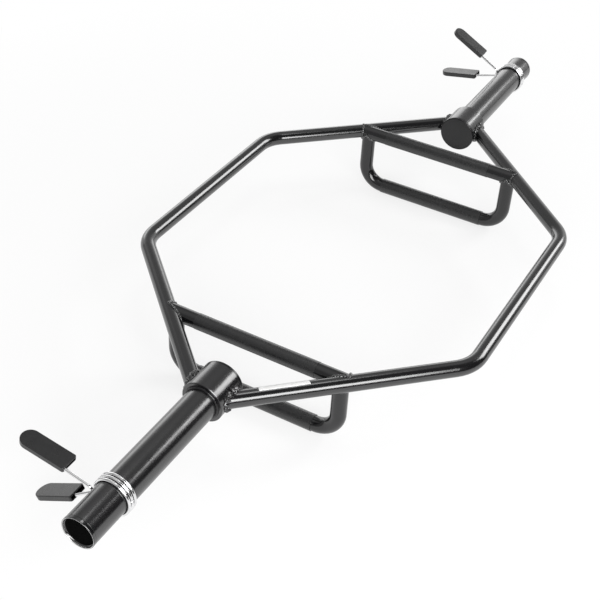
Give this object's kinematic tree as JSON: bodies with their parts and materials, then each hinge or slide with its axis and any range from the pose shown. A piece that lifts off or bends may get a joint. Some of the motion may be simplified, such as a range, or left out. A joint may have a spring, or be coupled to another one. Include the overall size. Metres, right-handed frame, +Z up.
{
  "type": "hex trap bar",
  "caption": "Welded hexagonal lifting bar: tube frame, round plate sleeves in collars, straight and lowered U handles at each end, and a squeeze spring clip on each sleeve.",
  "frame": {"origin": "on the floor under the middle of the bar, where it rests on its two lowered handles", "axes": "+X along the sleeves, +Y across the frame to the side that the clip grips point to, +Z up"},
  "size_m": [1.485, 0.605, 0.192],
  "materials": {
    "frame_paint": "glossy black powder coat on welded steel tube",
    "sleeve_paint": "smooth glossy black coat",
    "handle_paint": "black coat, fine knurling on the gripping length",
    "cap_plastic": "moulded black plug with a smooth lip",
    "clip_wire": "bright plated spring wire",
    "grip_plastic": "soft black moulded grip"
  },
  "bodies": {
    "frame": {"left_side_tube": "frame_paint", "right_side_tube": "frame_paint", "near_collar": "frame_paint", "near_collar_plate": "frame_paint", "near_sleeve": "sleeve_paint", "near_sleeve_end_cap": "cap_plastic", "near_upper_handle": "handle_paint", "near_lower_handle": "handle_paint", "near_frame_welds": "frame_paint", "near_handle_welds": "frame_paint", "near_sleeve_weld": "frame_paint", "far_collar": "frame_paint", "far_collar_plate": "frame_paint", "far_sleeve": "sleeve_paint", "far_sleeve_end_cap": "cap_plastic", "far_upper_handle": "handle_paint", "far_lower_handle": "handle_paint", "far_frame_welds": "frame_paint", "far_handle_welds": "frame_paint", "far_sleeve_weld": "frame_paint"},
    "near_clip": {"near_clip_coil": "clip_wire"},
    "near_clip_upper_arm": {"near_clip_upper_wire": "clip_wire", "near_clip_upper_grip": "grip_plastic"},
    "near_clip_lower_arm": {"near_clip_lower_wire": "clip_wire", "near_clip_lower_grip": "grip_plastic"},
    "far_clip": {"far_clip_coil": "clip_wire"},
    "far_clip_upper_arm": {"far_clip_upper_wire": "clip_wire", "far_clip_upper_grip": "grip_plastic"},
    "far_clip_lower_arm": {"far_clip_lower_wire": "clip_wire", "far_clip_lower_grip": "grip_plastic"}
  },
  "joints": [
    {"name": "near_clip_slide", "type": "slide", "parent": "frame", "child": "near_clip", "axis": [1, 0, 0], "range_m": [-0.088, 0.183]},
    {"name": "near_clip_squeeze", "type": "hinge", "parent": "near_clip", "child": "near_clip_upper_arm", "pos_m": [-0.668, 0, 0.1178], "axis": [1, 0, 0], "range_deg": [-15, 0], "stiffness_Nm_per_rad": 12, "deforming": ["near_clip_coil"]},
    {"name": "near_clip_lower_squeeze", "type": "hinge", "parent": "near_clip", "child": "near_clip_lower_arm", "pos_m": [-0.668, 0, 0.1178], "axis": [1, 0, 0], "range_deg": [0, 15], "stiffness_Nm_per_rad": 12},
    {"name": "far_clip_slide", "type": "slide", "parent": "frame", "child": "far_clip", "axis": [1, 0, 0], "range_m": [-0.204, 0.067]},
    {"name": "far_clip_squeeze", "type": "hinge", "parent": "far_clip", "child": "far_clip_upper_arm", "pos_m": [0.6895, 0, 0.1178], "axis": [1, 0, 0], "range_deg": [-15, 0], "stiffness_Nm_per_rad": 12, "deforming": ["far_clip_coil"]},
    {"name": "far_clip_lower_squeeze", "type": "hinge", "parent": "far_clip", "child": "far_clip_lower_arm", "pos_m": [0.6895, 0, 0.1178], "axis": [1, 0, 0], "range_deg": [0, 15], "stiffness_Nm_per_rad": 12}
  ],
  "couplings": [
    {"joint": "near_clip_lower_squeeze", "follows": "near_clip_squeeze", "ratio": -1},
    {"joint": "far_clip_lower_squeeze", "follows": "far_clip_squeeze", "ratio": -1}
  ]
}
